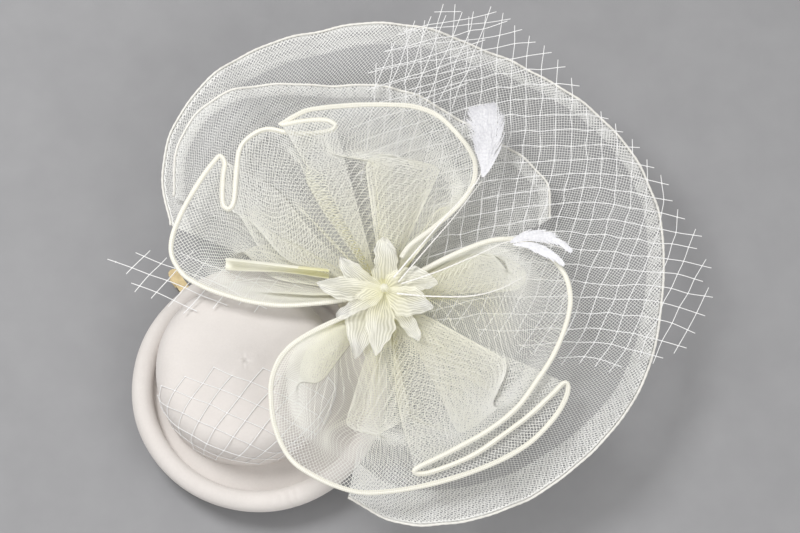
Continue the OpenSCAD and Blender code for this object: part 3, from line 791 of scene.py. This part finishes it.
def net(name, knots, chains, height, fringe, replaced, radius=0.28 * MM):
    """Strands with a knot at each crossing; height lifts a point of the plane on to the net."""
    paths, radii = [], []
    for chain in chains:
        line = np.array(chain)
        if fringe:
            first = line[0] + (line[0] - line[1]) * fringe
            last = line[-1] + (line[-1] - line[-2]) * fringe
            line = np.vstack([first, line, last])
        path = curve(line, 5)
        lifted = np.array([height(x, y) for x, y in path])
        paths.append(lifted)
        radii.append(np.full(len(lifted), radius))
    for x, y in knots:
        centre = np.array(height(x, y))
        ball = np.array([centre + np.array([0.6 * MM * k, 0.25 * MM * k, 0]) for k in (-1, -0.6, 0, 0.6, 1)])
        paths.append(ball)
        radii.append(radius * np.array([0.7, 1.5, 1.9, 1.5, 0.7]))
    return tubes(name, paths, radii, 6, net_nylon, replaced)


def veil_height(x, y):
    dx, dy = x - hub[0], y - hub[1]
    r, a = math.hypot(dx, dy), math.atan2(dy, dx)
    z = float(fan_height(r, a)) + veil_lift
    ripple = 0.8 * MM * math.sin(90 * x + 40 * y)
    return x, y, z + ripple


def top_layer_height(x, y):
    x, y, z = veil_height(x, y)
    return x, y, z + 1.2 * MM


def in_veil(x, y):
    dx, dy = x - hub[0], y - hub[1]
    r, a = math.hypot(dx, dy), math.degrees(math.atan2(dy, dx))
    if not veil_a[0] <= a <= veil_a[1]:
        return False
    edge = at_even(veil_R, (a - veil_a[0]) / (veil_a[1] - veil_a[0])) * MM
    return 22 * MM < r < edge - 5 * MM


def crown_point(length):
    """Radius and height on the crown's outer line, that far from its top."""
    dome_len = dome_R * (math.pi / 2 - dome_a)
    if length < dome_len:
        a = length / dome_R
        return dome_R * math.sin(a), wall_h - shoulder_c * math.tan(dome_a) + dome_R * math.cos(a)
    a = (length - dome_len) / shoulder_r
    if a < dome_a:
        turn = dome_a - a
        return shoulder_c + shoulder_r * math.cos(turn), wall_h + shoulder_r * math.sin(turn)
    return crown_r, wall_h - (a - dome_a) * shoulder_r


def crown_height(x, y):
    s, a = math.hypot(x, y), math.atan2(y, x)
    r, z = crown_point(s)
    out = 0.6 * MM
    return crown_at[0] + (r + out) * math.cos(a), crown_at[1] + (r + out) * math.sin(a), z + out


def in_crown_net(x, y):
    s, a = math.hypot(x, y), math.degrees(math.atan2(y, x)) % 360
    return 192 < a < 352 and 9 * MM < s < 88 * MM


def side_height(x, y):
    f = (hub[0] - x) / (hub[0] + 93 * MM)
    return x, y, 46 * MM - 3 * MM * f * f + 0.8 * MM * math.sin(150 * x + 110 * y)


def in_side_net(x, y):
    """Inside the tab that runs from the core out over the side of the hat."""
    outline = [tuple(hub)] + [(p[0] * MM, p[1] * MM) for p in side_edge]
    odd = False
    for (x0, y0), (x1, y1) in zip(outline, outline[1:] + outline[:1]):
        if (y0 > y) != (y1 > y) and x < x0 + (x1 - x0) * (y - y0) / (y1 - y0):
            odd = not odd
    return odd and x < 30 * MM and y > 49 * MM - 0.25 * (x + 85 * MM)


def in_top_layer(x, y):
    """The part near the fan's top where the netting lies double."""
    dx, dy = x - hub[0], y - hub[1]
    return in_veil(x, y) and math.degrees(math.atan2(dy, dx)) > 68 and math.hypot(dx, dy) > 140 * MM


def make_nets():
    knots, chains = strand_chains(in_veil, (0.195, 0.12), (2, 84), (10.6 * MM, 10.6 * MM), 24, 3,
                                  1.8 * MM, 1.5, 2.6)
    net("veil", knots, chains, veil_height, 0.5, ("veil_net",))
    knots, chains = strand_chains(in_top_layer, (0.13, 0.2), (18, 72), (11 * MM, 12 * MM), 16, 8,
                                  2.0 * MM, 1.0)
    net("veil_top_layer", knots, chains, top_layer_height, 0.5, ())
    knots, chains = strand_chains(in_crown_net, (0, 0), (-24, 54), (12.5 * MM, 12.5 * MM), 9, 5, 1.2 * MM)
    net("crown_netting", knots, chains, crown_height, 0.0, ("crown_net",), 0.26 * MM)
    knots, chains = strand_chains(in_side_net, (-0.08, 0.068), (-24, 52), (12 * MM, 11 * MM), 16, 9, 1.3 * MM)
    net("side_netting", knots, chains, side_height, 0.5, ("side_net",), 0.3 * MM)


# ---------------------------------------------------------------- hat
def crown_profile(inset):
    """The crown's line from the foot of its wall to its top, set in by that much."""
    line = [(crown_r - inset, h) for h in np.linspace(felt_t, wall_h, 8)[:-1]]
    for a in np.linspace(0, dome_a, 10)[:-1]:
        line.append((shoulder_c + (shoulder_r - inset) * math.cos(a),
                     wall_h + (shoulder_r - inset) * math.sin(a)))
    for a in np.linspace(dome_a, math.pi / 2, 14):
        line.append((max((dome_R - inset) * math.cos(a), 0.01 * MM),
                     wall_h - shoulder_c * math.tan(dome_a) + (dome_R - inset) * math.sin(a)))
    return line


def lathe(name, profile, middle, uneven, material, replaced, count):
    """A closed profile turned round its middle; uneven moves a point by its radius, height and angle."""
    line = np.array(profile + profile[:1])
    turns = np.linspace(0, 2 * math.pi, count + 1)[:-1]
    r, z = line[:, :1], line[:, 1:]
    shift_r, shift_z = uneven(r, z, turns[None, :])
    r = r + shift_r
    P = np.stack([middle[0] + r * np.cos(turns), middle[1] + r * np.sin(turns), z + shift_z], 2)
    s = lengths(line)[:, None]
    uv = np.stack(np.broadcast_arrays(turns[None, :] * 0.07, s), 2)
    return grid(name, P, material, replaced, uv, closed=True)


def crown_uneven(r, z, a):
    """Soft unevenness, and fine pulls in the cover round the shaded side of the wall."""
    near = np.minimum(r / crown_r, 1)
    soft = 0.25 * MM * (np.sin(3 * a + 1) + np.sin(5 * a + 60 * z)) * near
    band = smooth((z - 6 * MM) / (6 * MM)) * (1 - smooth((z - wall_h - 4 * MM) / (8 * MM))) * (near > 0.9)
    pulls = 0.13 * MM * np.sin(118 * a + 2 * np.sin(9 * a)) * band * np.exp(-((a - 3.9) / 0.6) ** 2)
    return soft * 0.8 + pulls, 0.2 * MM * np.sin(2 * a + 20 * r) * near


def hole_reach(a):
    """How far the crown's hole reaches from the brim's middle in the direction a."""
    off = crown_at - brim_at
    along = off[0] * np.cos(a) + off[1] * np.sin(a)
    return along + np.sqrt(hole_r ** 2 - (off @ off - along ** 2))


def brim_uneven(r, z, a):
    """Soft waves along the lip, the seam and puckers where the cover's ends meet, and the crown's hole."""
    lip = smooth((r - lip_c + lip_r) / (6 * MM)) * smooth(z / (8 * MM))
    seam = math.radians(-74)
    off = (a - seam + math.pi) % (2 * math.pi) - math.pi
    groove = -0.7 * MM * np.exp(-(off / 0.012) ** 2)
    pucker = 0.35 * MM * np.sin(off * 90) * np.exp(-(off / 0.14) ** 2)
    soft = 0.3 * MM * (np.sin(4 * a) + 0.6 * np.sin(9 * a + 2))
    plate = np.clip((lip_c - lip_r - r) / (lip_c - lip_r - hole_r), 0, 1)
    outwards = lip * (groove * 0.5 + soft * 0.5) + plate * (hole_reach(a) - hole_r)
    return outwards, lip * (groove + pucker + soft * 0.6)


def brim_profile():
    """The flat plate and its rolled lip, counter-clockwise from the plate's inner foot."""
    line = [(x, 0.0) for x in np.linspace(hole_r, lip_c, 6)[:-1]]
    meet = math.acos((lip_r - felt_t) / lip_r)
    for a in np.linspace(-math.pi / 2, 1.5 * math.pi - meet, 34):
        line.append((lip_c + lip_r * math.cos(a), lip_r + lip_r * math.sin(a)))
    line += [(x, felt_t) for x in np.linspace(lip_c - lip_r * math.sin(meet), hole_r, 6)[1:]]
    return line


def make_hat():
    outer = crown_profile(0)
    inner = crown_profile(felt_t)
    lathe("crown_cover", outer + inner[::-1], crown_at, crown_uneven, hat_cloth, ("hat_crown",), 720)
    lathe("brim_cover", brim_profile(), brim_at, brim_uneven, hat_cloth, ("hat_brim",), 480)


# ---------------------------------------------------------------- middle: bunch, thread, pad
def make_bunch():
    """The stitched ends of mesh and ribbon: deep pleats, tight at the thread and open above it."""
    z = np.linspace(core_low.z, core_high.z, 60)[:, None]
    a = np.linspace(0, 2 * math.pi, 181)[None, :-1]
    waist = 1 - 0.14 * np.exp(-((z - bind_z) / (5 * MM)) ** 2)
    flare = 1 + 0.5 * smooth((z - 50 * MM) / (12 * MM)) + 0.25 * smooth((22 * MM - z) / (5 * MM))
    pleat = 0.13 * np.sin(17 * a + 40 * z) + 0.07 * np.sin(31 * a - 60 * z)
    r = core_r * (waist * flare + pleat) * 0.95
    P = np.stack(np.broadcast_arrays(hub[0] + r * np.cos(a), hub[1] + r * np.sin(a), z), 2)
    tip = P[-1:].mean(axis=1, keepdims=True) + np.zeros_like(P[-1:])
    foot = P[:1].mean(axis=1, keepdims=True) + np.zeros_like(P[:1])
    P = np.concatenate([foot + (P[:1] - foot) * 0.05, P, tip + (P[-1:] - tip) * 0.05], 0)
    uv = np.stack(np.broadcast_arrays(a * core_r, np.linspace(0, 0.046, 62)[:, None]), 2)
    # Painted shade: the bunch is given nearly its full olive shade, as seen deep between the petals.
    crowd_shade = np.full(P.shape[:2], 0.95)
    grid("gathered_bunch", P, roll_organza, ("gather_core",), uv, {"crowd_shade": crowd_shade}, closed=True)


def make_binding():
    """One thread wound in close turns."""
    low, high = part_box("thread_binding")
    turns = 5.2
    t = np.linspace(0, 1, 420)
    a = 2 * math.pi * turns * t
    wobble = 0.12 * MM * np.sin(7 * a)
    r = core_r + 0.45 * MM + wobble
    z = low.z + 0.5 * MM + (high.z - low.z - 1 * MM) * t + 0.1 * MM * np.sin(3 * a)
    x, y = polar(r, a)
    path = np.stack([x, y, z], 1)
    tubes("wound_binding", [path], [0.48 * MM], 10, wound_thread, ("thread_binding",))


def make_pad():
    """The felt pad that carries the gathers, with rounded edges and hand stitches near them."""
    reach = math.hypot(*hub)
    turn = math.atan2(hub[1], hub[0])
    inner, half, disc = lip_c - pad_inset, pad_half, pad_disc
    meet = math.asin(half / disc)
    line = [(inner, y) for y in np.linspace(half, -half, 12)]
    line += [(x, -half) for x in np.linspace(inner, reach - disc * math.cos(meet), 6)[1:-1]]
    line += [(reach + disc * math.cos(a), disc * math.sin(a))
             for a in np.linspace(-math.pi + meet, math.pi - meet, 60)]
    line += [(x, half) for x in np.linspace(reach - disc * math.cos(meet), inner, 6)[1:-1]]
    outline = np.array(line)
    middle = outline.mean(axis=0)
    layers = []
    for scale, height in ((0.01, 0), (0.93, 0), (0.975, 0.1), (1, 0.45),
                          (1, 0.6), (0.975, 0.93), (0.93, 1), (0.01, 1)):
        p = middle + (outline - middle) * scale
        z = pad_low.z + (pad_high.z - pad_low.z) * height
        layers.append(np.stack([p[:, 0] * math.cos(turn) - p[:, 1] * math.sin(turn),
                                p[:, 0] * math.sin(turn) + p[:, 1] * math.cos(turn), np.full(len(p), z)], 1))
    P = np.array(layers)[::-1]
    grid("pad", P, pad_felt, ("base_pad",), P[..., :2], {"crowd_shade": np.zeros(P.shape[:2])}, closed=True)
    seam = middle + (outline - middle) * 0.87
    paths = []
    for i in range(0, len(seam) - 1, 2):
        a, b = seam[i], seam[i] + (seam[i + 1] - seam[i]) * 0.8
        arch = []
        for k in np.linspace(0, 1, 5):
            p = a + (b - a) * k
            arch.append((p[0] * math.cos(turn) - p[1] * math.sin(turn),
                         p[0] * math.sin(turn) + p[1] * math.cos(turn),
                         pad_high.z + 0.3 * MM * math.sin(math.pi * k)))
        paths.append(np.array(arch))
    tubes("pad_stitches", paths, [0.22 * MM] * len(paths), 6, wound_thread)


# ---------------------------------------------------------------- flower and ribbon
def petal_width(f):
    """Half a leaf's width at fraction f of its length."""
    return 0.5 * MM + (0.62 * petal_w - 0.5 * MM) * np.sin(math.pi * f ** 0.8) ** 0.7 * (f < 1)


def make_petal(i):
    """A ribbed leaf, crumpled, twisted and bent its own way."""
    rng = random.Random(20 + i)
    broad = rng.uniform(0.8, 1.35)
    f = np.linspace(0, 1, 30)[:, None]
    side = np.linspace(-1, 1, 17)[None, :]
    x = 0.25 * core_r + (0.75 * core_r + petal_len * petal_size[i]) * f + 0 * side
    lop = rng.uniform(-0.4, 0.4)
    ragged = 1 + 0.2 * np.sin(7 * f + 3 * side + rng.uniform(0, 6)) + 0.06 * np.sin(31 * f + 5 * side)
    y = broad * petal_width(f) * side * (1 + lop * np.sign(side)) * ragged
    bend = rng.uniform(-1, 1) * 9 * MM
    y = y + bend * f ** 2
    crumple = np.sin(9 * f + 2.2 * side + rng.uniform(0, 6)) + 0.5 * np.sin(17 * f - 4 * side)
    z = petal_low[i] * MM + 2.2 * MM * np.sin(math.radians(150) * f) + 0.7 * MM * np.abs(side)
    z = z + 1.5 * MM * crumple * f + rng.uniform(-4, 4) * MM * side * f
    z = z - 1.2 * MM * np.exp(-(side / 0.12) ** 2) * np.sin(math.pi * f) * 0.5
    a = math.radians(petal_turn[i])
    P = np.stack([hub[0] + x * math.cos(a) - y * math.sin(a),
                  hub[1] + x * math.sin(a) + y * math.cos(a), z], 2)
    uv = np.stack(np.broadcast_arrays(x, petal_w / 2 * side), 2)
    # Painted shade: olive shade towards each leaf's base, deep in the flower.
    crowd_shade = np.broadcast_to(0.75 * (1 - f) ** 1.5 + 0.1, P.shape[:2])
    grid(f"organza_petal_{i + 1}", P, petal_organza, (f"petal_{i + 1}",), uv, {"crowd_shade": crowd_shade})


def make_flower():
    for i in range(len(petal_turn)):
        make_petal(i)
    low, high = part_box("flower_core")
    top = high.z - low.z
    f = np.linspace(0, 1, 26)[:, None]
    a = np.linspace(0, 2 * math.pi, 73)[None, :-1]
    reach = (high.x - low.x) / 2
    swirl = 1 + 0.09 * np.sin(6 * a + 7 * f) + 0.05 * np.sin(11 * a - 9 * f)
    r = reach * np.cos(math.pi / 2 * f) ** 0.7 * swirl * 0.55 + 0.05 * MM
    z = low.z + 0.6 * top * np.sin(math.pi / 2 * f) + 0 * a
    P = np.stack([hub[0] + r * np.cos(a), hub[1] + r * np.sin(a), z], 2)
    uv = np.stack(np.broadcast_arrays(f * 0.012, a * reach), 2)
    # Painted shade: darker towards the knot's foot.
    crowd_shade = np.broadcast_to(0.5 * (1 - f), P.shape[:2])
    grid("flower_knot", P, petal_organza, ("flower_core",), uv, {"crowd_shade": crowd_shade}, closed=True)


def make_roll():
    """A sheer ribbon rolled to a C of two layers, open toward the front, with loose ends."""
    along = np.linspace(0, 1, 60)[:, None]
    turns = np.linspace(0, 1, 90)[None, :]
    way = (roll_b - roll_a) / np.linalg.norm(roll_b - roll_a)
    side = np.cross(way, [0, 0, 1.0])
    side /= np.linalg.norm(side)
    up = np.cross(side, way)
    there = np.abs(2 * turns - 1)
    angle = math.radians(195) + math.radians(250) * there + 0.15 * np.sin(5 * along)
    inner = 1 - smooth((turns - 0.44) / 0.12)
    r = roll_r * (0.94 - 0.16 * inner) * (1 + 0.06 * np.sin(7 * along + 3 * turns))
    r = r * (1 + 0.3 * smooth((along - 0.7) / 0.3) * there)
    r = r * (0.9 + 0.1 * np.cos(5 * along + 2.5 * turns))
    droop = (1.2 * MM * np.sin(4 * along) + 4 * MM * along ** 2)[..., None] * side
    centre = roll_a + (roll_b - roll_a) * along[..., None] + droop
    P = centre + (0.82 * r * np.cos(angle))[..., None] * side + (r * np.sin(angle))[..., None] * up
    uv = np.stack(np.broadcast_arrays(roll_l * along, roll_w * turns), 2)
    # Painted shade: the roll's inner layer goes to olive shade, fading along the ribbon.
    crowd_shade = np.broadcast_to(0.1 + 0.85 * inner * (1 - smooth((along - 0.15) / 0.6)), P.shape[:2])
    roll = grid("rolled_ribbon", P, roll_organza, ("ribbon_roll",), uv, {"crowd_shade": crowd_shade})
    return roll


# ---------------------------------------------------------------- feathers
def plume(name, axis, reach, fibres, seed, brush, replaced):
    """A vane of separate barbs that leave the shaft and fan out to its width.

    axis is the middle line; reach gives the half width at even steps along it, in millimetres;
    brush is the share of barbs that run on to the ragged tip."""
    rng = random.Random(seed)
    line = curve(np.array(axis, float) * MM, 20)
    way = np.gradient(line, axis=0)
    way /= np.linalg.norm(way, axis=1)[:, None]
    across = np.stack([-way[:, 1], way[:, 0]], 1)
    points, faces = [], []
    steps = 9
    for k in range(fibres):
        start = 0.72 * (k / fibres)
        end = min(1.0, start + rng.uniform(0.26, 0.40))
        if rng.random() < brush:
            end = rng.uniform(0.88, 1.0)
        spread_out = at_even(reach, end) * MM * rng.uniform(-1.0, 1.0)
        width = rng.uniform(0.35, 0.6) * MM
        lift = rng.uniform(0, 1.1) * MM
        rows = []
        for t in np.linspace(0, 1, steps):
            s = (start + (end - start) * t) * (len(line) - 1)
            i = int(min(s, len(line) - 2))
            middle = line[i] + (line[i + 1] - line[i]) * (s - i)
            p = middle + across[i] * spread_out * t ** 0.8
            half = width * (1 - 0.7 * t ** 3)
            height = vane_z + 0.3 * MM + lift * t
            for edge in (-1, 1):
                rows.append((*(p + across[i] * half * edge), height + 0.25 * MM * (edge > 0)))
        first = len(points)
        points += rows
        for t in range(steps - 1):
            a = first + 2 * t
            faces.append((a, a + 1, a + 3, a + 2))
    return finish_mesh(name, np.array(points), faces, feather_barbs, replaced)


def quill(name, route, thick, replaced):
    """A bare shaft that thins towards its tip."""
    p = np.array(route, float)
    line = curve(np.stack([p[:, 0] * MM, p[:, 1] * MM, vane_z - p[:, 2] * MM], 1), 14)
    radius = thick * (1 - 0.6 * np.linspace(0, 1, len(line)))
    tubes(name, [line], [radius], 8, quill_horn, replaced)


def make_feathers():
    plume("upper_feather", ((150.5, 121), (153, 136), (154, 150), (152, 163), (150, 172)),
          (1.2, 7, 12, 14, 9), 560, 1, 0.4, ("upper_feather_vane",))
    upper_blade = ((168, 76), (180, 80), (192, 79.5), (202, 75), (208, 69))
    lower_blade = ((170, 74.5), (180, 74), (190, 70), (198, 64.5), (203, 60))
    plume("lower_feather_crescent", upper_blade, (2.5, 4.6, 4.6, 3.2, 1), 170, 2, 0.2,
          ("lower_feather_vane",))
    plume("lower_feather_blade", lower_blade, (2, 3.4, 3.8, 2.8, 1), 150, 4, 0.2, ())
    for i, (route, thick) in enumerate(((quill_1, 0.6), (quill_2, 0.5), (quill_3, 0.6), (quill_4, 0.5))):
        quill(f"quill_{i + 1}", route, thick * MM, (f"feather_quill_{i + 1}",))


# ---------------------------------------------------------------- CAD nodes that stay
def dress_cad():
    """Materials for the CAD nodes that are shown as they are."""
    brass = metal("clip_brass", (0.42, 0.34, 0.20), (0.30, 0.24, 0.14), 0.3)
    steel = metal("spring_steel", (0.70, 0.70, 0.68), (0.52, 0.52, 0.51), 0.25)
    wire = metal("brim_wire_steel", (0.62, 0.62, 0.60), (0.45, 0.45, 0.44), 0.35)
    lining = cloth("lining_satin", (0.82, 0.78, 0.72), (0.74, 0.70, 0.64), 0.8 * MM, 0.1 * MM, 0.4)
    band = grosgrain("ribbon_grosgrain", (0.82, 0.77, 0.70), (0.70, 0.65, 0.58))
    chosen = {"crown_lining": lining, "inner_ribbon": band, "brim_wire": wire}
    for clip in ("clip_a", "clip_b"):
        chosen[f"{clip}_felt"] = clip_pad_felt
        chosen[f"{clip}_jaw"] = brass
        chosen[f"{clip}_lever"] = brass
        chosen[f"{clip}_pin"] = steel
        chosen[f"{clip}_spring"] = steel
    for name, material in chosen.items():
        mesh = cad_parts[name].data
        mesh.materials.clear()
        mesh.materials.append(material)


# ---------------------------------------------------------------- camera, floor and light
def make_camera():
    """A long lens that looks down at the picture's angle."""
    low, high = cad_box
    aim = (low + high) / 2 + Vector((-11, -5, 13)) * MM
    tilt = math.radians(72)
    distance = 1.98
    camera = bpy.data.cameras.new("camera")
    camera.lens = 135
    camera.sensor_width = 36
    holder = bpy.data.objects.new("camera", camera)
    bpy.context.scene.collection.objects.link(holder)
    holder.location = aim + distance * Vector((0, -math.cos(tilt), math.sin(tilt)))
    holder.rotation_euler = (aim - holder.location).to_track_quat("-Z", "Y").to_euler()
    bpy.context.scene.camera = holder


def make_floor():
    """A plain pale sheet of card under the part."""
    material, tree, shader = start_material("floor_card", Specular_IOR_Level=0.1)
    grain = noise(tree, 40)
    connect(tree, shader, Base_Color=ramp(tree, grain, (0.3, (0.31, 0.31, 0.32)), (0.7, (0.33, 0.33, 0.34))),
            Roughness=spread(tree, grain, 0.8, 0.95))
    half = 3.0
    z = cad_box[0].z - 2 * MM
    mesh = bpy.data.meshes.new("floor")
    corners = [(-half, -half, z), (half, -half, z), (half, half, z), (-half, half, z)]
    mesh.from_pydata(corners, [], [(0, 1, 2, 3)])
    mesh.materials.append(material)
    floor = bpy.data.objects.new("floor", mesh)
    bpy.context.scene.collection.objects.link(floor)


def area_light(name, location, target, size, power):
    """A soft round light aimed at the target."""
    light = bpy.data.lights.new(name, "AREA")
    light.shape = "DISK"
    light.size = size
    light.energy = power
    holder = bpy.data.objects.new(name, light)
    bpy.context.scene.collection.objects.link(holder)
    holder.location = location
    holder.rotation_euler = (Vector(target) - Vector(location)).to_track_quat("-Z", "Y").to_euler()


def make_light():
    """A key light, two fills and a pale surround."""
    middle = (cad_box[0] + cad_box[1]) / 2
    area_light("key", (-0.7, 0.5, 1.5), middle, 0.7, 19)
    area_light("fill", (1.3, -0.9, 1.3), middle, 1.2, 10)
    area_light("low", (0.1, -1.6, 0.7), middle, 1.0, 4)
    world = bpy.data.worlds.new("studio")
    world.use_nodes = True
    world.node_tree.nodes["Background"].inputs[0].default_value = (1.0, 0.985, 0.96, 1)
    world.node_tree.nodes["Background"].inputs[1].default_value = 0.5
    bpy.context.scene.world = world
    bpy.context.scene.view_settings.view_transform = "Standard"
    bpy.context.scene.cycles.transparent_max_bounces = 48


make_camera()
make_floor()
make_light()
make_hat()
make_fans()
make_bows()
make_nets()
make_bunch()
make_binding()
make_pad()
make_flower()
make_roll()
make_feathers()
dress_cad()
